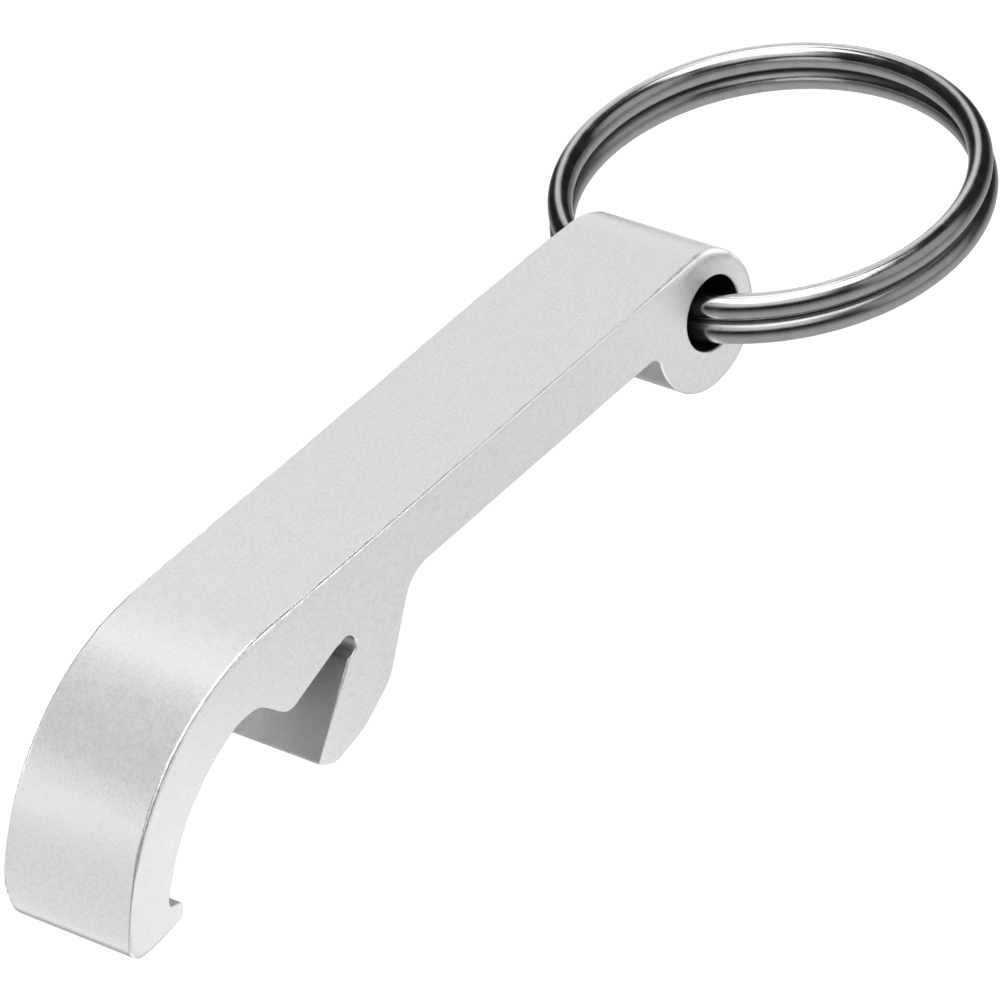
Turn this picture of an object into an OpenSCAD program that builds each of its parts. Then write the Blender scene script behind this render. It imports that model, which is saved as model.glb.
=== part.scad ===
// Keychain bottle opener: one extruded aluminium lever and the split ring that
// is threaded through the bore in its eye.
//
// The flat back of the lever is the datum. The origin is the middle of the back,
// X runs along the lever from the hook to the ring, Y across it, and Z is up out
// of the back, so the whole profile lies at Z below 0.

/* [Lever] */
// Width of the bar, which is the length of extrusion cut off for one lever
bar_w = 10; // [8:0.5:14]
// Length of the flat back, from the start of the bend to the top of the eye
back_l = 40; // [34:1:52]
// Thickness of the straight shank
shank_t = 4; // [3.2:0.1:4.4]

/* [Hook] */
// Outer radius of the bend
bend_r = 16; // [15:0.25:17]
// Thickness of the arm where the bend starts
arm_t = 3.6; // [3.2:0.1:3.8]
// Inner radius of the bend: less than bend_r - arm_t / 2, and the arm thins towards its tip
mouth_r = 13; // [12.6:0.1:13.2]
// Depth of the hook's tip below the back
hook_depth = 13; // [12.8:0.1:13.6]
// How far the lip stands out from the arm, to catch under the edge of a cap
lip_l = 0.9; // [0.6:0.1:1.2]

/* [Mouth and tooth] */
// Depth of the mouth's ceiling below the back
ceiling_depth = 4; // [3.8:0.1:4.4]
// Depth of the nub between the mouth and the slot
nub_depth = 6.1; // [5.8:0.1:6.6]
// Diameter of the round end of the slot that lifts the tab of a can
slot_d = 1.5; // [1.2:0.1:1.8]
// Depth of the tooth that bears on the top of a cap
tooth_depth = 11.55; // [11:0.05:12]

/* [Eye] */
// Outer diameter of the eye
eye_d = 9; // [8.4:0.2:10]
// Diameter of the bore that holds the ring
bore_d = 4.8; // [4.6:0.1:5.2]
// How far the bore is moved from the eye's centre towards the ring
bore_shift = 0.65; // [0:0.05:0.8]
// Radius of the fillet where the shank meets the eye
notch_r = 0.9; // [0.5:0.1:1.4]

/* [Split ring] */
// Diameter of the middle of the wire round the ring
ring_d = 25.9; // [23:0.1:30]
// Diameter of the wire
wire_d = 1.55; // [1.3:0.05:1.6]
// Gap between the two turns
turn_gap = 0.1; // [0.05:0.01:0.15]
// Tilt of the ring about X, as it lies in its loose bore
ring_tilt = 2.9; // [0:0.1:4]
// Angle round the ring of the crank that joins the two turns; the bore is at 180
crank_at = 150; // [60:1:151]
// Half of the angle that the crank takes up
crank_half = 6.5; // [5:0.5:9]

/* [Hidden] */

// Steps in a rounded corner and in a long arc of the outline
corner_steps = 6;
arc_steps = 32;

// The lever, as points [x, z] in its side view
bend_x = -back_l / 2;
bend_centre = [bend_x, -bend_r];
mouth_centre = [bend_x, -arm_t - mouth_r];
eye_centre = [back_l / 2, -eye_d / 2];
bore_x = eye_centre.x + bore_shift;
bore_z = 0.2 - eye_d / 2;

// Where the two long arcs of the hook end, in degrees from +X
heel_angle = 163;
lip_angle = 154;
ceiling_angle = 106;

// The ring's centre lies far enough along X for the wire to run through the bore
ring_reach = ring_d / 2 - 0.85;
ring_drop = 0.15;
turn_z = (wire_d + turn_gap) / 2;
ring_steps = 72;
crank_steps = 8;
wire_sides = 16;

function unit(v) = v / norm(v);

// Points of an arc about a centre, from one angle to another
function arc(centre, radius, from, to, steps) =
    [for (i = [0:steps])
        let (a = from + (to - from) * i / steps)
        centre + radius * [cos(a), sin(a)]];

// Points of the arc that rounds the corner b between a and c
function corner(a, b, c, radius) =
    let (u = unit(a - b),
         v = unit(c - b),
         half = acos(u * v) / 2,
         centre = b + unit(u + v) * radius / sin(half),
         start = b + u * radius / tan(half) - centre,
         end = b + v * radius / tan(half) - centre,
         from = atan2(start.y, start.x),
         turn = atan2(end.y, end.x) - from,
         short_turn = turn > 180 ? turn - 360 : turn < -180 ? turn + 360 : turn)
    arc(centre, radius, from, from + short_turn, corner_steps);

// A closed outline from corners [x, z, radius]; a corner of radius 0 stays sharp
function rounded(corners) =
    let (n = len(corners))
    [for (i = [0:n - 1])
        let (a = corners[(i + n - 1) % n], b = corners[i], c = corners[(i + 1) % n])
        each b[2] == 0 ? [[b.x, b.y]]
            : corner([a.x, a.y], [b.x, b.y], [c.x, c.y], b[2])];

function sharp(points) = [for (p = points) [p.x, p.y, 0]];

// The lip's shelf meets the end of the mouth's arc, and the heel ends the bend
lip_root = mouth_centre + mouth_r * [cos(lip_angle), sin(lip_angle)];
heel = bend_centre + bend_r * [cos(heel_angle), sin(heel_angle)];
slot_centre = [bend_x + 5.95, -ceiling_depth - 0.45 - slot_d / 2];

function lever_outline() = rounded(concat(
    [[back_l / 2, 0, 0]],
    sharp(arc(bend_centre, bend_r, 90, heel_angle, arc_steps)),
    [[heel.x - 0.44, -hook_depth, 1],
     [lip_root.x - 1.5, -hook_depth, 2],
     [lip_root.x + 0.65, 0.35 - hook_depth, 0.6],
     [lip_root.x + lip_l, lip_root.y - 0.8, 0.2],
     [lip_root.x - 0.05, lip_root.y - 0.5, 0.1]],
    sharp(arc(mouth_centre, mouth_r, lip_angle, ceiling_angle, arc_steps)),
    [[bend_x - 1.65, -ceiling_depth, 1.8],
     [bend_x + 0.45, -nub_depth, 1.2],
     [bend_x + 5.1, -ceiling_depth - 0.6, 1.2],
     [slot_centre.x, slot_centre.y + slot_d / 2 - 0.05, 0],
     [slot_centre.x, slot_centre.y, 0],
     [slot_centre.x + 0.15, slot_centre.y - 0.5, 0],
     [bend_x + 1.6, 0.8 - tooth_depth, 0.2],
     [bend_x + 2.95, -tooth_depth, 1.2],
     [bend_x + 5.7, 0.55 - tooth_depth, 5],
     [bend_x + 8.6, 2.15 - tooth_depth, 3],
     [bend_x + 12.15, -shank_t, 2.8],
     [back_l / 2, -shank_t, 0]]
));

// Fills the corner between the shank's underside and the eye with a concave fillet
module notch_fillet() {
    reach = eye_d / 2 + notch_r;
    drop = shank_t + notch_r + eye_centre.y;
    centre = eye_centre - [sqrt(reach * reach - drop * drop), drop];
    touch = eye_centre + unit(centre - eye_centre) * eye_d / 2;
    difference() {
        polygon([[centre.x, -shank_t], [centre.x, touch.y], touch, [eye_centre.x, touch.y],
                 [eye_centre.x, -shank_t]]);
        translate(centre) circle(r = notch_r, $fn = 48);
    }
}

module lever_profile() {
    difference() {
        union() {
            polygon(lever_outline());
            translate(eye_centre) circle(d = eye_d, $fn = 96);
            notch_fillet();
        }
        translate(slot_centre) circle(d = slot_d, $fn = 48);
    }
}

// The extruded lever with its bore
module opener_body() {
    color([0.86, 0.86, 0.87])
    difference() {
        rotate([90, 0, 0])
            linear_extrude(bar_w, center = true)
                lever_profile();
        translate([bore_x, 0, bore_z])
            rotate([90, 0, 0])
                cylinder(d = bore_d, h = bar_w + 2, center = true, $fn = 64);
    }
}

// Height of the wire's middle across the crank, which eases from the upper turn to the lower
function crank_z(t) = turn_z * cos(180 * t);

// The wire's middle line as [angle, height]: the upper turn, the crank and the lower turn
wire_path = concat(
    [for (i = [0:ring_steps - 1])
        [crank_at + crank_half + (360 - 2 * crank_half) * i / ring_steps, turn_z]],
    [for (i = [0:crank_steps])
        [crank_at - crank_half + 360 + 2 * crank_half * i / crank_steps, crank_z(i / crank_steps)]],
    [for (i = [1:ring_steps])
        [crank_at + crank_half + 360 + (360 - 2 * crank_half) * i / ring_steps, -turn_z]]
);

// One wire of round section swept along its path about the ring's own centre
module wound_wire() {
    n = len(wire_path);
    rings = [for (p = wire_path) [for (k = [0:wire_sides - 1])
        let (a = 360 * k / wire_sides,
             r = ring_d / 2 + wire_d / 2 * cos(a))
        [r * cos(p[0]), r * sin(p[0]), p[1] + wire_d / 2 * sin(a)]]];
    walls = [for (i = [0:n - 2]) for (k = [0:wire_sides - 1])
        let (a = i * wire_sides + k,
             b = i * wire_sides + (k + 1) % wire_sides)
        [a, b, b + wire_sides, a + wire_sides]];
    first_end = [for (k = [0:wire_sides - 1]) wire_sides - 1 - k];
    last_end = [for (k = [0:wire_sides - 1]) (n - 1) * wire_sides + k];
    polyhedron([for (ring = rings) each ring], concat(walls, [first_end, last_end]), convexity = 6);
}

// The split ring where it lies at rest, straight out from the lever
module split_ring() {
    color([0.75, 0.76, 0.78])
    translate([bore_x + ring_reach, 0, bore_z - ring_drop])
        rotate([ring_tilt, 0, 0])
            wound_wire();
}

opener_body();
split_ring();
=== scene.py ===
# %% [markdown]
# # A keychain bottle opener
#
# The object is two pieces: a lever cut from one extruded bar of aluminium, and a
# split ring of spring steel wire that runs through the bore in the lever's eye.
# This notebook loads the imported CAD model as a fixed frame, builds a finer version
# of each piece on it, gives both a finish, and then sets up a small studio.
# All lengths are in metres, in the frame of the CAD model: X runs along the lever
# from the hook to the ring, Y across it, and Z up out of its flat back.

# %% Load the frame
import math

import bmesh
import bpy
import numpy as np
from mathutils import Matrix, Vector
from mathutils.geometry import delaunay_2d_cdt


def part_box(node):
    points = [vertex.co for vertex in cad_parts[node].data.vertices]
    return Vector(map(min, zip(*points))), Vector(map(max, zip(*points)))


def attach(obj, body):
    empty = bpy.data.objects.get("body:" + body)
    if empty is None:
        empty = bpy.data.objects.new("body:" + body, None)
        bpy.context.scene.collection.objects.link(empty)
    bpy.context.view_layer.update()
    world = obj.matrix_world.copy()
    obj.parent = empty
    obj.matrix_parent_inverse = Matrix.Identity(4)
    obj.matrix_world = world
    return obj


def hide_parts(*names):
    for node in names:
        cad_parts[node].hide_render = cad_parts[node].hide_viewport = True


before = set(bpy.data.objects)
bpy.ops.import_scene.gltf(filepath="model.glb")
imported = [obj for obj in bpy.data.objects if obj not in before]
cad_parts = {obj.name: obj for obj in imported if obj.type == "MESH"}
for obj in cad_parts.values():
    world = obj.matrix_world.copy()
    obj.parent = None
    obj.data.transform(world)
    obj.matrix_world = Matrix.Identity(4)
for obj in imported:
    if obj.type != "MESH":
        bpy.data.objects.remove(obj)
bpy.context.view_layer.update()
MM = 0.001

# %% Helpers that make objects
def new_piece(name, vertices, faces):
    """A smooth mesh object at the origin, with its place in its vertices."""
    mesh = bpy.data.meshes.new(name)
    mesh.from_pydata([tuple(v) for v in vertices], [], [tuple(f) for f in faces])
    mesh.validate()
    mesh.shade_smooth()
    piece = bpy.data.objects.new(name, mesh)
    bpy.context.scene.collection.objects.link(piece)
    return piece


def report(piece):
    """Prints the size of a piece in millimetres and how many triangles it has."""
    corners = np.array([v.co[:] for v in piece.data.vertices]) / MM
    size = corners.max(axis=0) - corners.min(axis=0)
    triangles = sum(len(p.vertices) - 2 for p in piece.data.polygons)
    print(f"{piece.name}: {size.round(2).tolist()} mm, {triangles} triangles")


# %% [markdown]
# ## Reading the lever's outline
#
# Every cross section of an extruded bar is the same, so the whole lever is known
# from one outline in its side view and one round bore. Both can be read off the
# frame: the edges of the flat side face at -Y, chained into closed loops. Reading
# them keeps the lever true to the CAD model, with no number copied by hand.

# %% Side loops of a CAD node
def side_loops(node):
    """Closed loops of (x, z) points, in mm, round the side face at -Y of a node."""
    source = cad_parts[node]
    bm = bmesh.new()
    bm.from_mesh(source.data)
    bm.transform(source.matrix_world)
    bmesh.ops.remove_doubles(bm, verts=bm.verts, dist=1e-7)
    side = min(v.co.y for v in bm.verts)
    for f in bm.faces:
        f.tag = all(abs(v.co.y - side) < 1e-6 for v in f.verts)
    rim = [e for e in bm.edges if sum(f.tag for f in e.link_faces) == 1]
    after = {}
    for e in rim:
        face = next(f for f in e.link_faces if f.tag)
        corner = next(c for c in face.loops if c.edge == e)
        after[corner.vert] = corner.link_loop_next.vert
    loops = []
    while after:
        start, here = next(iter(after.items()))
        loop = [start]
        del after[start]
        while here != start:
            loop.append(here)
            here = after.pop(here)
        loops.append(np.array([[v.co.x, v.co.z] for v in loop]) / MM)
    bm.free()
    return sorted(loops, key=len, reverse=True), -2 * side / MM


lever_loops, bar_width = side_loops("opener_body")
print("loops of", [len(loop) for loop in lever_loops], "points")
print("bar", round(bar_width, 2), "mm wide")

# %% [markdown]
# ## Making the outline smooth and even
#
# The loops are polygons, whose short steps would show as facets in a glossy
# finish. A cubic curve through each short step, tangent to its neighbours, turns
# the steps back into the arcs that they stand for. Long steps are real straight
# lines and stay straight, and a step that turns by more than 22 degrees is a real
# corner and stays sharp. The curve is then cut into steps of equal length.

# %% Smooth, even outlines
STEP = 0.2           # mm between the points of a finished outline
LONG = 1.3           # mm: a longer step of the polygon is a straight line
SHARP = 22           # degrees: a larger turn is a real corner


def hermite(t, start, start_slope, end, end_slope):
    """A point of the cubic curve between two points with given slopes, at t from 0 to 1."""
    return ((2 * t**3 - 3 * t**2 + 1) * start + (t**3 - 2 * t**2 + t) * start_slope
            + (3 * t**2 - 2 * t**3) * end + (t**3 - t**2) * end_slope)


def even_outline(loop):
    """Points of equal spacing along the smooth curve that a polygon stands for."""
    n = len(loop)
    chords = np.roll(loop, -1, axis=0) - loop
    lengths = np.linalg.norm(chords, axis=1)
    ahead = chords / lengths[:, None]
    behind = np.roll(ahead, 1, axis=0)
    turn = np.degrees(np.arccos(np.clip((ahead * behind).sum(axis=1), -1, 1)))
    weight = 1 / lengths
    mean = ahead * weight[:, None] + behind * np.roll(weight, 1)[:, None]
    mean /= np.linalg.norm(mean, axis=1)[:, None]
    straight = lengths > LONG
    straight_before = np.roll(straight, 1)
    points = []
    for i in range(n):
        j = (i + 1) % n
        start = ahead[i] if turn[i] > SHARP else behind[i] if straight_before[i] else mean[i]
        end = ahead[i] if turn[j] > SHARP else ahead[j] if straight[j] else mean[j]
        if straight[i]:
            start = end = ahead[i]
        count = max(1, round(lengths[i] / STEP))
        points += [hermite(t, loop[i], start * lengths[i], loop[j], end * lengths[i])
                   for t in np.arange(count) / count]
    return np.array(points)


outline, bore = [even_outline(loop) for loop in lever_loops]
print("outline of", len(outline), "points, bore of", len(bore))

# %% [markdown]
# ## Open sides and hollows
#
# A hand, a tumbling stone and a blast of beads all reach the open side of the
# lever more easily than the end of its slot. Two numbers for each point of the
# outline say how it lies. The first is 1 where the outline faces up or towards
# the front of the hook. The second says how far the metal closes in on the
# point: rays go out from it, as on a clock face, and those that soon meet metal
# again are counted. It is 0 in the open and nearly 1 in the end of the slot.
# Both set the size of the broken edge. The first also places the polished edges
# with their painted highlight, and the second places the painted shade in the hollows.

# %% How each point of the outline lies
RAY_TURNS = np.radians(np.arange(-80, 81, 10))
RAY_REACHES = np.array([0.4, 0.8, 1.4, 2.1, 3, 4, 5.2, 6.5, 8, 10])     # mm


def rise(values, low, high):
    """0 below low, 1 above high, and a smooth step between."""
    t = np.clip((values - low) / (high - low), 0, 1)
    return t * t * (3 - 2 * t)


def inward(loop):
    """Unit vectors that point to the left of a closed loop, into the metal."""
    along = np.roll(loop, -1, axis=0) - np.roll(loop, 1, axis=0)
    along /= np.linalg.norm(along, axis=1)[:, None]
    return np.column_stack([-along[:, 1], along[:, 0]])


def inside(points, loop):
    """True for each point that lies inside a closed loop."""
    crossings = np.zeros(len(points), int)
    for a, b in zip(loop, np.roll(loop, -1, axis=0)):
        spans = (a[1] > points[:, 1]) != (b[1] > points[:, 1])
        if spans.any():
            reach = a[0] + (points[:, 1] - a[1]) / (b[1] - a[1] + 1e-12) * (b[0] - a[0])
            crossings += spans & (points[:, 0] < reach)
    return crossings % 2 == 1


def outer_side(loop):
    """1 where a point of the outline faces up or towards the hook's front, else 0."""
    out = -inward(loop)
    return rise(out[:, 1] - 0.6 * out[:, 0], 0.1, 0.5)


def hollows(loop):
    """How far the metal closes in on each point of the outline, from 0 in the open to 0.9."""
    out = -inward(loop)
    facing = np.arctan2(out[:, 1], out[:, 0])
    shut = np.zeros(len(loop))
    for turn in RAY_TURNS:
        way = np.column_stack([np.cos(facing + turn), np.sin(facing + turn)])
        places = loop[:, None] + way[:, None] * RAY_REACHES[:, None]
        met = inside(places.reshape(-1, 2), loop).reshape(len(loop), -1)
        shut += math.cos(turn) * met.any(axis=1)
    shut = np.mean([np.roll(shut, k) for k in range(-4, 5)], axis=0) / np.cos(RAY_TURNS).sum()
    return 0.62 * rise(shut, 0.02, 0.22) + 0.28 * rise(shut, 0.7, 1.0)


outline_hollows = hollows(outline)
print("points in a hollow:", int((outline_hollows > 0.5).sum()), "of", len(outline))

# %% [markdown]
# ## Edges broken by tumbling
#
# After it is cut off the bar, the real lever is tumbled and blasted, so its edges
# are rounded by about a fifth of a millimetre, a little unevenly, with small
# nicks. One way is a Bevel modifier, but it can't change its width along an edge.
# Here the side face is built instead as a height field: a point of it at a
# distance d inside the outline lies on a quarter circle until d reaches the
# radius, and is flat after that. The radius is a smooth random function of the
# place along the outline. It is small in the hollows, and it grows round the eye
# and at the far corner of the toe, which have been knocked about the most.

# %% Radius of the broken edge
INNER_RADIUS, OUTER_EXTRA = 0.09, 0.13                # mm, on the two sides of the hook
EYE_EXTRA, FAR_TOE_EXTRA, NEAR_TOE_EXTRA = 0.30, 0.95, 0.12      # mm
BORE_RADIUS = 0.12                                    # mm
rng = np.random.default_rng(7)


def smooth_noise(count, length):
    """Random numbers about 0 round a closed loop, smoothed over a number of points."""
    spread = np.minimum(np.arange(count), count - np.arange(count))
    kernel = np.exp(-((spread / length) ** 2))
    noise = np.fft.ifft(np.fft.fft(rng.normal(size=count)) * np.fft.fft(kernel)).real
    return noise / noise.std()


def edge_radius(loop, far):
    """Radius in mm of the broken edge at each point of the outline."""
    wander = 0.12 * smooth_noise(len(loop), 12) + 0.1 * smooth_noise(len(loop), 2)
    outer = outer_side(loop)
    toe = rise(-loop[:, 1], 5, 11) * outer
    corner = rise(-loop[:, 1], 10, 12.5) * rise(-loop[:, 0], 31, 33.5)
    eye = rise(loop[:, 0], 15, 22)
    plain = (INNER_RADIUS + OUTER_EXTRA * outer) * (1 - 0.6 * outline_hollows)
    if not far:
        plain *= 1 - 0.6 * toe
    broad = EYE_EXTRA * eye + (FAR_TOE_EXTRA if far else NEAR_TOE_EXTRA) * corner
    return np.clip(plain * (1 + wander), 0.04, 0.4) + broad


def edge_polish_and_sheen(loop):
    """How far the tumbling has polished the edge, which also carries a painted highlight: most
    on the bend, least at toe and eye.
    """
    along_shank = rise(loop[:, 0], -16, 2)
    return outer_side(loop) * rise(loop[:, 1], -8, -4) * (1 - 0.8 * along_shank)


# %% One side face as a height field
QUARTER = np.radians([11, 23, 36, 50, 65, 90])        # places round the quarter circle
FLAT_RINGS = [1.5, 2.6]                               # rings further in, in radii
WEAR_AND_SHEEN_BAND = 1.5                                       # width of the polished band with its painted highlight, in radii
# The rim of the bore gets a little of the polished edge and its painted highlight.
BORE_POLISH_AND_SHEEN = 0.2


def nearest(points, loop):
    """Distance from each point to a closed loop, and the nearest point's number."""
    best = np.full(len(points), 1e9)
    which = np.zeros(len(points), int)
    ahead = np.roll(loop, -1, axis=0) - loop
    for i, (a, d) in enumerate(zip(loop, ahead)):
        t = np.clip((points - a) @ d / (d @ d), 0, 1)
        gap = np.linalg.norm(points - a - t[:, None] * d, axis=1)
        closer = gap < best
        best[closer] = gap[closer]
        which[closer] = i
    return best, which


def side_face(far):
    """Points (x, z, depth below the side plane), triangles and edge factor of one side face; the
    edge factor is polishing with a painted highlight.
    """
    loops = [outline, bore]
    radii = [edge_radius(outline, far), np.full(len(bore), BORE_RADIUS)]
    polish_and_sheen = edge_polish_and_sheen(outline)
    rims = np.vstack(loops)
    points = [rims]
    for share in list(1 - np.cos(QUARTER)) + FLAT_RINGS:
        for loop, radius in zip(loops, radii):
            place = loop + inward(loop) * (share * radius)[:, None]
            gap = nearest(place, outline)[0]
            gap_bore = nearest(place, bore)[0]
            own = gap if loop is outline else gap_bore
            other = gap_bore if loop is outline else gap
            keep = (own > share * radius - 0.004) & (other > share * radius)
            points.append(place[keep])
    places = np.vstack(points)
    rim_edges = []
    first = 0
    for loop in loops:
        n = len(loop)
        rim_edges += [(first + i, first + (i + 1) % n) for i in range(n)]
        first += n
    verts, _, faces, origin, _, _ = delaunay_2d_cdt(
        [Vector(p) for p in places], rim_edges, [], 0, 1e-6, True)
    places = np.array([v[:] for v in verts])
    triangles = np.array(faces)
    middles = places[triangles].mean(axis=1)
    triangles = triangles[inside(middles, outline) & ~inside(middles, bore)]
    gap, which = nearest(places, outline)
    gap_bore, which_bore = nearest(places, bore)
    from_rim = gap < gap_bore
    radius = np.where(from_rim, radii[0][which], radii[1][which_bore])
    gap = np.minimum(gap, gap_bore)
    rest = np.clip(radius - gap, 0, None)
    depth = radius - np.sqrt(np.clip(radius**2 - rest**2, 0, None))
    band = np.clip(1 - gap / (WEAR_AND_SHEEN_BAND * radius), 0, 1)
    # Polished edges with a painted highlight, fading to 0 across the band inside the rim.
    factor = band * np.where(from_rim, polish_and_sheen[which], BORE_POLISH_AND_SHEEN)
    rim_of = {old: new for new, group in enumerate(origin) for old in group if old < len(rims)}
    rim = [rim_of[i] for i in range(len(rims))]
    return np.column_stack([places, depth]), triangles, factor, rim


near_side, far_side = side_face(far=False), side_face(far=True)
print("near side", near_side[1].shape[0], "triangles, far side", far_side[1].shape[0])

# %% [markdown]
# ## Closing the lever
#
# The two side faces are turned to face outwards at -Y and +Y, and a wall of long
# narrow faces joins their rims round the outline and through the bore. Each rim
# point is shared, so the finished lever is one closed surface. A number on each
# point, called edge_wear_and_sheen, is 1 on the polished edges, which also get a
# painted highlight, and falls to 0 beside them. Another, called bore_shade, is 1
# on the wall of the bore, where shade is painted. A third, called hollow_shade,
# rises to 0.9 in the end of the slot and paints shade into the hollows. The finish
# uses all three.

# %% Build the lever
WALL_ROWS = (0.006, 0.03, 0.12, 0.5, 0.88, 0.97, 0.994)     # shares of the bar's width


def build_lever():
    """The closed mesh of the lever, with its three numbers stored on its points."""
    vertices, faces, wear_and_sheen, bore_shade, shaded, rims = [], [], [], [], [], []
    for (points, triangles, factor, rim), side in ((near_side, -1), (far_side, 1)):
        first = len(vertices)
        y = side * (bar_width / 2 - points[:, 2])
        vertices += np.column_stack([points[:, 0], y, points[:, 1]]).tolist()
        wear_and_sheen += factor.tolist()
        bore_shade += [0.0] * len(points)
        shaded += [0.0] * len(points)
        # The rim points take the same values as the wall beside them, so the painted shade in
        # the hollows runs evenly up to the rim.
        for i, depth in zip(rim, outline_hollows):
            shaded[first + i] = depth
        order = triangles if side < 0 else triangles[:, ::-1]
        faces += (order + first).tolist()
        rims.append([first + i for i in rim])
    # Painted shade in the hollows for the outer wall, none for the wall of the bore.
    walls = ((0, len(outline), 0.0, outline_hollows),
             (len(outline), len(outline) + len(bore), 1.0, np.zeros(len(bore))))
    for start, stop, in_bore, wall_shades in walls:
        rows = [rims[0][start:stop]]
        for share in WALL_ROWS:
            row = []
            for a, b in zip(rims[0][start:stop], rims[1][start:stop]):
                x, low, z = vertices[a]
                row.append(len(vertices))
                vertices.append([x, low + share * (vertices[b][1] - low), z])
                wear_and_sheen.append(0.0)
                # 1 on the wall of the bore, where the finish paints shade.
                bore_shade.append(in_bore)
            shaded += wall_shades.tolist()
            rows.append(row)
        rows.append(rims[1][start:stop])
        n = stop - start
        for near, far in zip(rows, rows[1:]):
            for i in range(n):
                j = (i + 1) % n
                faces.append((near[j], near[i], far[i], far[j]))
    lever = new_piece("lever_body", np.array(vertices) * MM, faces)
    for name, values in (("edge_wear_and_sheen", wear_and_sheen), ("bore_shade", bore_shade), ("hollow_shade", shaded)):
        lever.data.attributes.new(name, "FLOAT", "POINT").data.foreach_set("value", values)
    return lever


lever = build_lever()
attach(lever, "lever")
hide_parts("opener_body")
report(lever)

# %% [markdown]
# ## The split ring
#
# A split ring is one wire wound twice. Its upper turn steps down to its lower
# turn at a short crank, and its two cut ends lie on both sides of that crank. The
# shape follows a rule, so Geometry Nodes make it: a straight line is cut into
# even steps, its points are moved to a circle whose height steps down at the
# crank, and a profile is swept along it. The profile is a circle with slightly
# squared shoulders, as on a wire that was rolled a little, so that the turns lie
# close on each other. The line's own parameter, from 0 to 1, is all that the rule
# needs. Three numbers are stored on the points for the finish: how far along the
# wire each one is, how high on the wire, and whether it is on the upper turn, 1,
# or on the lower one, -1.

# %% Helpers for node trees
def add_node(tree, kind, inputs=None, **settings):
    """A node whose settings and unlinked inputs are given; a linked input is a socket."""
    node = tree.nodes.new(kind)
    for key, value in settings.items():
        setattr(node, key, value)
    for key, value in (inputs or {}).items():
        socket = node.inputs[key]
        if isinstance(value, bpy.types.NodeSocket):
            tree.links.new(value, socket)
        else:
            socket.default_value = value
    return node


def maths(tree, operation, *values):
    """The result of a Math node with these inputs."""
    inputs = dict(enumerate(values))
    return add_node(tree, "ShaderNodeMath", inputs, operation=operation).outputs[0]


# %% The tree that winds the wire
GROUND_LENGTH = 0.35 * MM        # how far back each cut end of the wire is rounded
GROUND_TO = 0.72                 # what is left of the wire's thickness at the cut
WIRE_SIZES = {
    "Ring Diameter": 25.9 * MM,
    "Wire Width": 1.53 * MM,
    "Wire Height": 1.65 * MM,
    "Turn Spacing": 1.68 * MM,
    "Squareness": 2.1,
    "Lower Turn Offset": 0.12 * MM,
    "Crank Angle": math.radians(152.5),
    "Crank Half Angle": math.radians(6.0),
    "Tilt": math.radians(2.9),
    "Steps": 361,
    "Sides": 36,
}


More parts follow.
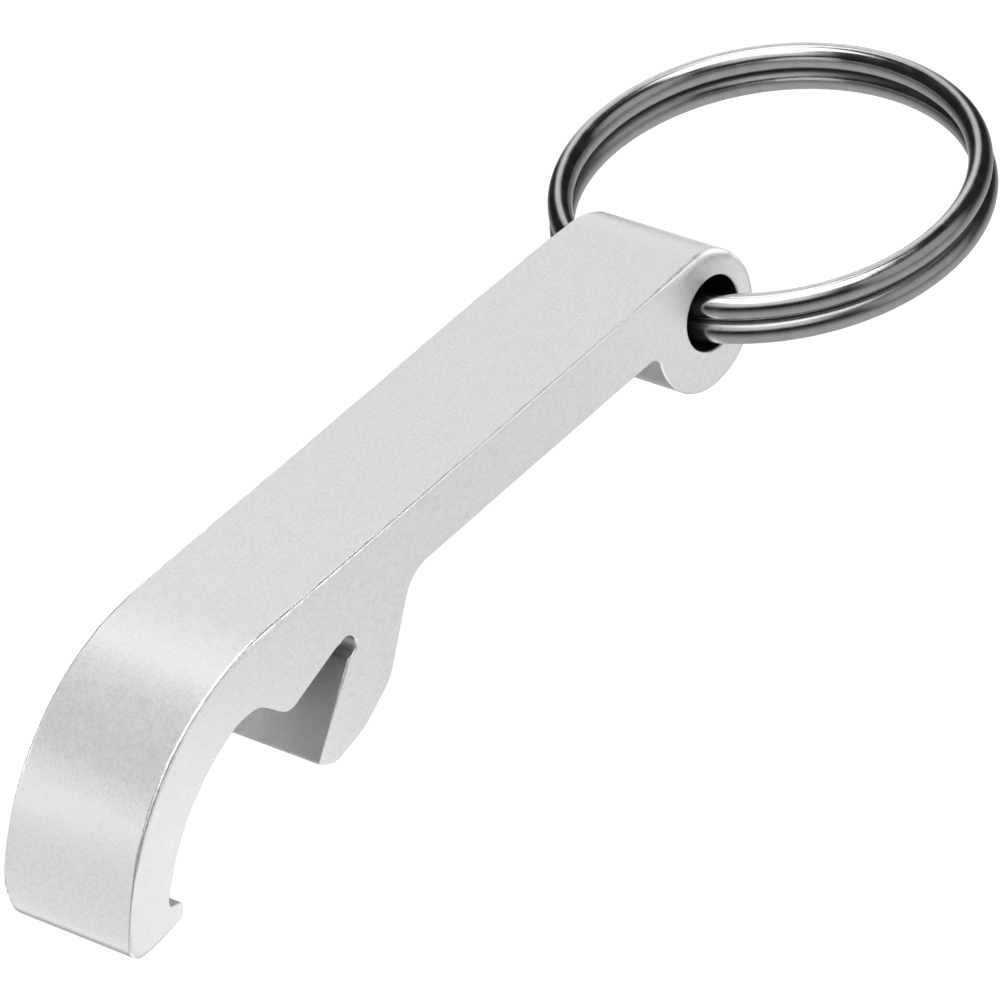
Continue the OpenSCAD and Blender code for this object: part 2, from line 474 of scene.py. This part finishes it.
def winding_tree(material):
    """A Geometry Nodes tree that winds a split ring from the sizes above."""
    tree = bpy.data.node_groups.new("wind_split_ring", "GeometryNodeTree")
    face = tree.interface
    face.new_socket("Geometry", in_out="OUTPUT", socket_type="NodeSocketGeometry")
    for name, value in WIRE_SIZES.items():
        kind = "NodeSocketInt" if isinstance(value, int) else "NodeSocketFloat"
        face.new_socket(name, in_out="INPUT", socket_type=kind)
    size = add_node(tree, "NodeGroupInput").outputs
    t = add_node(tree, "GeometryNodeSplineParameter").outputs["Factor"]

    turn = 2 * math.pi
    gap = maths(tree, "MULTIPLY", size["Crank Half Angle"], 2.0)
    whole = maths(tree, "SUBTRACT", 2 * turn, gap)
    start = maths(tree, "ADD", size["Crank Angle"], size["Crank Half Angle"])
    along = maths(tree, "MULTIPLY", t, whole)
    angle = maths(tree, "ADD", along, start)
    radius = maths(tree, "DIVIDE", size["Ring Diameter"], 2.0)
    upper = maths(tree, "DIVIDE", size["Turn Spacing"], 2.0)
    lower = maths(tree, "MULTIPLY", upper, -1.0)
    step = add_node(tree, "ShaderNodeMapRange", {
        "Value": along, "From Min": maths(tree, "SUBTRACT", turn, gap), "From Max": turn,
        "To Min": upper, "To Max": lower}, interpolation_type="SMOOTHSTEP")
    wider = add_node(tree, "ShaderNodeMapRange", {
        "Value": step.outputs["Result"], "From Min": upper, "From Max": lower,
        "To Min": 0.0, "To Max": size["Lower Turn Offset"]})
    reach = maths(tree, "ADD", radius, wider.outputs["Result"])
    place = add_node(tree, "ShaderNodeCombineXYZ", {
        "X": maths(tree, "MULTIPLY", reach, maths(tree, "COSINE", angle)),
        "Y": maths(tree, "MULTIPLY", reach, maths(tree, "SINE", angle)),
        "Z": step.outputs["Result"]})

    line = add_node(tree, "GeometryNodeCurvePrimitiveLine").outputs["Curve"]
    steps = add_node(tree, "GeometryNodeResampleCurve", {"Curve": line, "Count": size["Steps"]})
    length = maths(tree, "MULTIPLY", along, radius)
    marked = add_node(tree, "GeometryNodeStoreNamedAttribute", {
        "Geometry": steps.outputs["Curve"], "Name": "wire_along", "Value": length},
        data_type="FLOAT", domain="POINT")
    sided = add_node(tree, "GeometryNodeStoreNamedAttribute", {
        "Geometry": marked.outputs["Geometry"], "Name": "wire_turn",
        "Value": maths(tree, "DIVIDE", step.outputs["Result"], upper)},
        data_type="FLOAT", domain="POINT")
    wound = add_node(tree, "GeometryNodeSetPosition", {
        "Geometry": sided.outputs["Geometry"], "Position": place.outputs["Vector"]})
    upright = add_node(tree, "GeometryNodeSetCurveNormal", {
        "Curve": wound.outputs["Geometry"]}, mode="Z_UP")
    from_end = maths(tree, "MULTIPLY", maths(tree, "PINGPONG", t, 0.5),
                     maths(tree, "MULTIPLY", whole, radius))
    ground = add_node(tree, "ShaderNodeMapRange", {
        "Value": from_end, "From Min": 0.0, "From Max": GROUND_LENGTH,
        "To Min": GROUND_TO, "To Max": 1.0}, interpolation_type="SMOOTHERSTEP")
    rail = add_node(tree, "GeometryNodeSetCurveRadius", {
        "Curve": upright.outputs["Curve"], "Radius": ground.outputs["Result"]})

    circle = add_node(tree, "GeometryNodeCurvePrimitiveCircle", {
        "Resolution": size["Sides"], "Radius": 0.5})
    where = add_node(tree, "ShaderNodeSeparateXYZ", {
        "Vector": add_node(tree, "GeometryNodeInputPosition").outputs["Position"]}).outputs
    height = add_node(tree, "GeometryNodeStoreNamedAttribute", {
        "Geometry": circle.outputs["Curve"], "Name": "wire_height",
        "Value": maths(tree, "MULTIPLY", where["Y"], -2.0)},
        data_type="FLOAT", domain="POINT")
    powers = []
    for axis in ("X", "Y"):
        share = maths(tree, "MULTIPLY", maths(tree, "ABSOLUTE", where[axis]), 2.0)
        powers.append(maths(tree, "POWER", share, size["Squareness"]))
    swell = maths(tree, "POWER", maths(tree, "ADD", *powers),
                  maths(tree, "DIVIDE", -1.0, size["Squareness"]))
    oval = add_node(tree, "ShaderNodeCombineXYZ", {
        axis: maths(tree, "MULTIPLY", maths(tree, "MULTIPLY", where[axis], swell), size[name])
        for axis, name in (("X", "Wire Width"), ("Y", "Wire Height"))})
    profile = add_node(tree, "GeometryNodeSetPosition", {
        "Geometry": height.outputs["Geometry"], "Position": oval.outputs["Vector"]})
    wire = add_node(tree, "GeometryNodeCurveToMesh", {
        "Curve": rail.outputs["Curve"], "Profile Curve": profile.outputs["Geometry"],
        "Fill Caps": True})
    tilt = add_node(tree, "ShaderNodeCombineXYZ", {"X": size["Tilt"]})
    laid = add_node(tree, "GeometryNodeTransform", {
        "Geometry": wire.outputs["Mesh"], "Rotation": tilt.outputs["Vector"]})
    real = add_node(tree, "GeometryNodeRealizeInstances", {"Geometry": laid.outputs["Geometry"]})
    done = add_node(tree, "GeometryNodeSetMaterial", {
        "Geometry": real.outputs["Geometry"], "Material": material})
    add_node(tree, "NodeGroupOutput", {"Geometry": done.outputs["Geometry"]})
    return tree


print("ring", round(WIRE_SIZES["Ring Diameter"] / MM, 2), "mm across, at the middle of its wire")

# %% Wind the ring
def wind_ring(material):
    """Runs the tree and keeps its result as a plain mesh, at the place of the CAD ring."""
    holder = new_piece("ring_holder", [], [])
    tree = winding_tree(material)
    modifier = holder.modifiers.new("wind", "NODES")
    modifier.node_group = tree
    for item in tree.interface.items_tree:
        if item.in_out == "INPUT":
            modifier[item.identifier] = WIRE_SIZES[item.name]
    bpy.context.view_layer.update()
    wound = holder.evaluated_get(bpy.context.evaluated_depsgraph_get())
    made = bpy.data.meshes.new_from_object(wound)
    bpy.data.objects.remove(holder)
    low, high = [Vector(c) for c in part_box("split_ring")]
    made.transform(Matrix.Translation((low + high) / 2))
    made.shade_smooth()
    made.name = "split_ring_wire"
    ring = bpy.data.objects.new("split_ring_wire", made)
    bpy.context.scene.collection.objects.link(ring)
    return ring


nickel = bpy.data.materials.new("polished nickel")
ring = wind_ring(nickel)
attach(ring, "ring")
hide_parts("split_ring")
report(ring)

# %% [markdown]
# ## Satin aluminium
#
# The lever is blasted with fine beads and anodised clear, which leaves a pale
# satin metal with a very fine grain and faint clouds. The grain is far too small
# to model, so it is a bump and a change of roughness from noise on the object's
# own coordinates. On the broken edges the tumbling has polished the metal in
# patches, so there the edge_wear_and_sheen number, cut up by another noise, makes
# it brighter and smoother: partly real polishing, partly a painted highlight. The
# marks left by the saw on the two cut sides are almost blasted away: only a trace
# of long scratches is left in the bump. The hollow_shade number paints shade into
# the hollows, darker and duller towards the end of the slot. The bore_shade number
# paints the wall of the bore nearly black, as painted shade.

# %% Helpers for finishes
def new_finish(material):
    """Empties a material and gives it a Principled surface to wire up."""
    material.use_nodes = True
    tree = material.node_tree
    tree.nodes.clear()
    surface = add_node(tree, "ShaderNodeBsdfPrincipled")
    add_node(tree, "ShaderNodeOutputMaterial", {"Surface": surface.outputs["BSDF"]})
    return tree, surface


def object_noise(tree, grain, detail=2.0, stretch=(1, 1, 1), seed=0.0):
    """Noise on the object's own coordinates, with grains of about this many mm."""
    coordinates = add_node(tree, "ShaderNodeTexCoord").outputs["Object"]
    scale = [s / (grain * MM) for s in stretch]
    placed = add_node(tree, "ShaderNodeMapping", {
        "Vector": coordinates, "Scale": scale, "Location": [seed] * 3})
    noise = add_node(tree, "ShaderNodeTexNoise", {
        "Vector": placed.outputs["Vector"], "Scale": 1.0, "Detail": detail})
    return noise.outputs["Fac"]


def stored_number(tree, name):
    """A number that is stored on the points of the mesh."""
    return add_node(tree, "ShaderNodeAttribute", attribute_name=name).outputs["Fac"]


def remap(tree, value, low, high, to_low, to_high):
    """A value moved smoothly from one range to another, and held at its ends."""
    node = add_node(tree, "ShaderNodeMapRange", {
        "Value": value, "From Min": low, "From Max": high, "To Min": to_low, "To Max": to_high},
        interpolation_type="SMOOTHSTEP")
    return node.outputs["Result"]


def blend_colours(tree, factor, first, second):
    """A mix of two colours, each a tuple or a socket."""
    node = tree.nodes.new("ShaderNodeMix")
    node.data_type = "RGBA"
    for place, value in ((0, factor), (6, first), (7, second)):
        if isinstance(value, bpy.types.NodeSocket):
            tree.links.new(value, node.inputs[place])
        else:
            node.inputs[place].default_value = value
    return node.outputs[2]


def bump(tree, height, depth, strength=1.0, under=None):
    """A bump whose full height is this many mm, laid over another one."""
    inputs = {"Height": height, "Distance": depth * MM, "Strength": strength}
    if under is not None:
        inputs["Normal"] = under
    return add_node(tree, "ShaderNodeBump", inputs).outputs["Normal"]


# %% The lever's finish
CLOUD_COLOURS = (0.815, 0.815, 0.82, 1), (0.835, 0.835, 0.838, 1)
SPECKLE_COLOUR = (0.5, 0.5, 0.51, 1)
# Polished metal, brighter than the rest: real polishing and a painted highlight on the edges.
POLISHED_SHEEN_COLOUR = (0.96, 0.96, 0.965, 1)
# Dark grey: painted shade in the hollows, strongest at the end of the slot.
HOLLOW_SHADE_COLOUR = (0.28, 0.28, 0.284, 1)
# Near black: painted shade on the wall of the bore.
BORE_SHADE_COLOUR = (0.06, 0.06, 0.062, 1)


def satin_aluminium():
    """Blasted and anodised metal, polished with a painted highlight at its edges, with painted
    shade in hollows and in the bore.
    """
    material = bpy.data.materials.new("satin aluminium")
    tree, surface = new_finish(material)
    clouds = object_noise(tree, 1.2, detail=4.0)
    grain = object_noise(tree, 0.22, detail=2.0, seed=3.0)
    patches = object_noise(tree, 0.55, detail=3.0, seed=9.0)
    saw = object_noise(tree, 0.12, detail=2.0, stretch=(0.02, 1, 1), seed=5.0)
    # Polished patches on the edges, cut up by noise, which also paint a highlight there.
    worn_and_sheen = maths(tree, "MULTIPLY", stored_number(tree, "edge_wear_and_sheen"),
                 remap(tree, patches, 0.38, 0.6, 0.15, 1.0))
    worn_and_sheen = remap(tree, worn_and_sheen, 0.15, 0.7, 0.0, 1.0)
    # How far the metal closes in on each point, for painted shade in the hollows.
    hollow_shade = stored_number(tree, "hollow_shade")
    # The wall of the bore, for painted shade there.
    bore_shade_mask = remap(tree, stored_number(tree, "bore_shade"), 0.0, 0.8, 0.0, 1.0)

    cloudiness = remap(tree, clouds, 0.3, 0.7, 0.0, 1.0)
    colour = blend_colours(tree, cloudiness, *CLOUD_COLOURS)
    speckles = remap(tree, grain, 0.3, 0.62, 0.22, 0.0)
    colour = blend_colours(tree, speckles, colour, SPECKLE_COLOUR)
    # The edges brighten: polishing and a painted highlight.
    colour = blend_colours(tree, worn_and_sheen, colour, POLISHED_SHEEN_COLOUR)
    # Painted shade in the hollows.
    colour = blend_colours(tree, hollow_shade, colour, HOLLOW_SHADE_COLOUR)
    # Painted shade on the wall of the bore.
    colour = blend_colours(tree, bore_shade_mask, colour, BORE_SHADE_COLOUR)
    tree.links.new(colour, surface.inputs["Base Color"])

    rough = remap(tree, grain, 0.3, 0.7, 0.3, 0.38)
    rough = maths(tree, "ADD", rough, remap(tree, clouds, 0.3, 0.7, -0.02, 0.02))
    rough = maths(tree, "SUBTRACT", rough, maths(tree, "MULTIPLY", worn_and_sheen, 0.14))
    rough = maths(tree, "ADD", rough, maths(tree, "MULTIPLY", hollow_shade, 0.12))
    tree.links.new(rough, surface.inputs["Roughness"])
    surface.inputs["Metallic"].default_value = 0.75

    normal = bump(tree, clouds, 0.006, 0.25)
    normal = bump(tree, saw, 0.004, 0.25, under=normal)
    normal = bump(tree, grain, 0.013, 0.8, under=normal)
    tree.links.new(normal, surface.inputs["Normal"])
    return material


lever.data.materials.append(satin_aluminium())
print("lever finish:", lever.data.materials[0].name)

# %% [markdown]
# ## Polished nickel
#
# The wire is spring steel, drawn through a die, wound, and plated with polished
# nickel. It is almost a mirror, slightly warm in colour. The die leaves faint
# streaks that follow the wire, so their noise runs on the number stored along
# the wire, stretched, and not on the object's coordinates. Where the two turns
# face each other across the seam, the plating is painted darker and duller as
# painted shade, more on the ring's far side than on its near one.

# %% The ring's finish
PLATE_COLOURS = (0.60, 0.59, 0.575, 1), (0.68, 0.67, 0.655, 1)
# Painted shade in the seam between the two turns.
SEAM_SHADE_COLOUR = (0.24, 0.235, 0.23, 1)
STREAKS_PER_METRE = 160.0        # along the wire
STREAKS_ACROSS = 9.0             # over half its height


def polished_nickel(material):
    """A warm mirror with faint streaks along it, and painted shade between the two turns."""
    tree, surface = new_finish(material)
    height = stored_number(tree, "wire_height")
    drawn = add_node(tree, "ShaderNodeCombineXYZ", {
        "X": maths(tree, "MULTIPLY", stored_number(tree, "wire_along"), STREAKS_PER_METRE),
        "Y": maths(tree, "MULTIPLY", height, STREAKS_ACROSS)})
    streaks = add_node(tree, "ShaderNodeTexNoise", {
        "Vector": drawn.outputs["Vector"], "Scale": 1.0, "Detail": 3.0}).outputs["Fac"]
    haze = object_noise(tree, 1.1, detail=3.0)
    pits = object_noise(tree, 0.09, detail=1.0, seed=4.0)

    lifted = maths(tree, "MULTIPLY", height, stored_number(tree, "wire_turn"))
    facing_seam = maths(tree, "MULTIPLY", lifted, -1.0)
    place = add_node(tree, "ShaderNodeTexCoord").outputs["Object"]
    across = add_node(tree, "ShaderNodeSeparateXYZ", {"Vector": place}).outputs["Y"]
    # Painted shade on the sides of the wire that face the seam, stronger towards the far side.
    seam_shade = maths(tree, "MULTIPLY", remap(tree, facing_seam, 0.45, 0.85, 0.0, 1.0),
                 remap(tree, across, -0.006, 0.004, 0.3, 0.9))
    colour = blend_colours(tree, remap(tree, haze, 0.3, 0.7, 0.0, 1.0), *PLATE_COLOURS)
    colour = blend_colours(tree, seam_shade, colour, SEAM_SHADE_COLOUR)
    tree.links.new(colour, surface.inputs["Base Color"])

    rough = remap(tree, streaks, 0.3, 0.7, 0.12, 0.19)
    rough = maths(tree, "ADD", rough, remap(tree, haze, 0.4, 0.7, 0.0, 0.06))
    rough = maths(tree, "ADD", rough, maths(tree, "MULTIPLY", seam_shade, 0.4))
    tree.links.new(rough, surface.inputs["Roughness"])
    surface.inputs["Metallic"].default_value = 1.0

    normal = bump(tree, streaks, 0.006, 0.3)
    normal = bump(tree, pits, 0.003, 0.25, under=normal)
    tree.links.new(normal, surface.inputs["Normal"])


polished_nickel(nickel)
print("ring finish:", nickel.name)

# %% [markdown]
# ## The studio
#
# A mirror shows the room that it stands in, so the ring needs a room worth
# showing: a big soft box overhead, a narrow one and a pale backdrop behind, a
# weaker box towards the camera, a grey wall on one side, a grey table below, and
# dark everywhere else. The room is painted in the World, where each card is a
# soft-edged rectangle in some direction. Its sizes are those of a card that
# stands one unit away. The camera never sees the room: past the edge of the
# floor it sees plain white.

# %% A room of soft cards
CARDS = (
    # name, azimuth, elevation, width, height, soft edge, brightness
    ("box overhead", -125, 82, 0.88, 0.94, 0.12, 2.2),
    ("strip behind", 42, 57, 0.24, 0.40, 0.10, 1.8),
    ("backdrop behind", 44, 4, 0.50, 1.45, 0.30, 0.95),
    ("box towards the camera", -146, 43, 0.85, 0.65, 0.40, 0.90),
    ("wall beside", -70, 16, 1.10, 1.00, 0.50, 0.40),
)
TABLE_LIGHT, DARK = 0.48, 0.02       # brightness of the room below and all round


def compass(azimuth, elevation):
    """The direction at an azimuth from +X towards +Y, and an elevation, in degrees."""
    a, e = math.radians(azimuth), math.radians(elevation)
    return Vector((math.cos(a) * math.cos(e), math.sin(a) * math.cos(e), math.sin(e)))


def dot(tree, first, second):
    """The dot product of two directions."""
    inputs = {0: first, 1: second}
    product = add_node(tree, "ShaderNodeVectorMath", inputs, operation="DOT_PRODUCT")
    return product.outputs["Value"]


def card_mask(tree, direction, azimuth, elevation, width, height, edge):
    """1 where a direction meets a rectangular card, falling softly to 0 at its edge."""
    centre = compass(azimuth, elevation)
    right = Vector((0, 0, 1)).cross(centre).normalized()
    ahead = dot(tree, direction, centre)
    mask = remap(tree, ahead, 0.0, 0.05, 0.0, 1.0)
    distance = maths(tree, "MAXIMUM", ahead, 0.001)
    for axis, size in ((right, width), (centre.cross(right), height)):
        off = maths(tree, "DIVIDE", dot(tree, direction, axis), distance)
        off = maths(tree, "ABSOLUTE", off)
        inner, outer = (size - edge) / 2, (size + edge) / 2
        mask = maths(tree, "MULTIPLY", mask, remap(tree, off, inner, outer, 1.0, 0.0))
    return mask


def build_room():
    """Paints the cards in a new World."""
    world = bpy.data.worlds.new("studio")
    bpy.context.scene.world = world
    world.use_nodes = True
    tree = world.node_tree
    tree.nodes.clear()
    direction = add_node(tree, "ShaderNodeTexCoord").outputs["Generated"]
    z = add_node(tree, "ShaderNodeSeparateXYZ", {"Vector": direction}).outputs["Z"]
    light = remap(tree, z, -0.80, 0.10, TABLE_LIGHT, DARK)
    for _, *place, brightness in CARDS:
        mask = card_mask(tree, direction, *place)
        light = maths(tree, "ADD", light, maths(tree, "MULTIPLY", mask, brightness))
    room = add_node(tree, "ShaderNodeBackground", {"Color": light})
    white = add_node(tree, "ShaderNodeBackground", {"Color": (1, 1, 1, 1), "Strength": 1.0})
    seen = add_node(tree, "ShaderNodeLightPath").outputs["Is Camera Ray"]
    mixed = add_node(tree, "ShaderNodeMixShader", {
        0: seen, 1: room.outputs[0], 2: white.outputs[0]})
    add_node(tree, "ShaderNodeOutputWorld", {"Surface": mixed.outputs[0]})
    print("cards:", [card[0] for card in CARDS])


build_room()

# %% [markdown]
# ## Light on the lever, and the floor
#
# The satin lever needs light from all round, as in a white tent. Broad soft
# lights do that, two narrower ones draw the bright lines of the edge and the bend,
# and two tiny ones stand close to the toe and the eye. Light linking keeps them
# all on the lever alone, so they don't show as white patches in the mirror of the
# ring. The floor is kept out of the reflections too.

# %% Soft lights
MIDDLE, AWAY = (0, 0, -0.005), 0.4
LIGHTS = (
    # name, azimuth, elevation, size, power, the point it is aimed at, distance from that
    ("soft light beside", -60, -25, 0.60, 0.55, MIDDLE, AWAY),
    ("soft light in front", 137, -5, 0.55, 0.78, MIDDLE, AWAY),
    ("soft light over the bend", 115, 42, 0.45, 0.36, MIDDLE, AWAY),
    ("soft light under the camera", -137, -35, 0.55, 0.55, MIDDLE, AWAY),
    ("soft light below", 180, -72, 0.35, 0.30, MIDDLE, AWAY),
    ("soft light at the eye", -5, 5, 0.40, 0.75, MIDDLE, AWAY),
    ("edge light", -45, 36, 0.20, 0.17, MIDDLE, AWAY),
    ("bend light", 71, 49, 0.16, 0.07, MIDDLE, AWAY),
    ("toe light", -50, -36, 0.02, 0.0008, (-0.031, -0.005, -0.011), 0.06),
    ("eye light", -50, -36, 0.012, 0.0002, (0.026, -0.005, 0.001), 0.05),
)


def soft_light(name, azimuth, elevation, size, power, target, distance):
    """A square light on the lever alone, aimed at a point from a distance."""
    data = bpy.data.lights.new(name, "AREA")
    data.size = size
    data.energy = power
    light = bpy.data.objects.new(name, data)
    bpy.context.scene.collection.objects.link(light)
    aim = compass(azimuth, elevation)
    light.location = aim * distance + Vector(target)
    light.rotation_mode = "QUATERNION"
    light.rotation_quaternion = aim.to_track_quat("Z", "Y")
    light.visible_camera = False
    group = bpy.data.collections.new(name + " only")
    group.objects.link(lever)
    light.light_linking.receiver_collection = group


for row in LIGHTS:
    soft_light(*row)
print("lights on the lever:", len(LIGHTS))

# %% Floor
FLOOR_REACH, FLOOR_LEVEL = 2, -0.06      # metres
corners = [(x * FLOOR_REACH, y * FLOOR_REACH, FLOOR_LEVEL)
           for x, y in ((-1, -1), (1, -1), (1, 1), (-1, 1))]
floor = new_piece("floor", corners, [(0, 1, 2, 3)])
floor_paint = bpy.data.materials.new("pale floor")
tree, surface = new_finish(floor_paint)
surface.inputs["Base Color"].default_value = (0.9, 0.9, 0.9, 1)
surface.inputs["Roughness"].default_value = 0.9
surface.inputs["Emission Color"].default_value = (1, 1, 1, 1)
surface.inputs["Emission Strength"].default_value = 0.5
floor.data.materials.append(floor_paint)
floor.visible_glossy = False
floor.visible_diffuse = False

# %% [markdown]
# ## The camera
#
# A long lens from above the hook's left, which looks along the lever towards the
# ring. The three directions are the camera's right, up and back, written as the
# rows of its turn.

# %% Camera
CAMERA_PLACE = (-0.26472, -0.29143, 0.27100)
CAMERA_RIGHT = Vector((0.62642, -0.75723, -0.18494))
CAMERA_UP = Vector((0.54747, 0.25853, 0.79589))

lens = bpy.data.cameras.new("camera")
lens.sensor_width = 36
lens.lens = 293.6
lens.clip_start, lens.clip_end = 0.01, 10
camera = bpy.data.objects.new("camera", lens)
bpy.context.scene.collection.objects.link(camera)
turn = Matrix((CAMERA_RIGHT, CAMERA_UP, CAMERA_RIGHT.cross(CAMERA_UP))).transposed()
camera.matrix_world = Matrix.Translation(CAMERA_PLACE) @ turn.to_4x4()
bpy.context.scene.camera = camera
bpy.context.scene.view_settings.view_transform = "Standard"
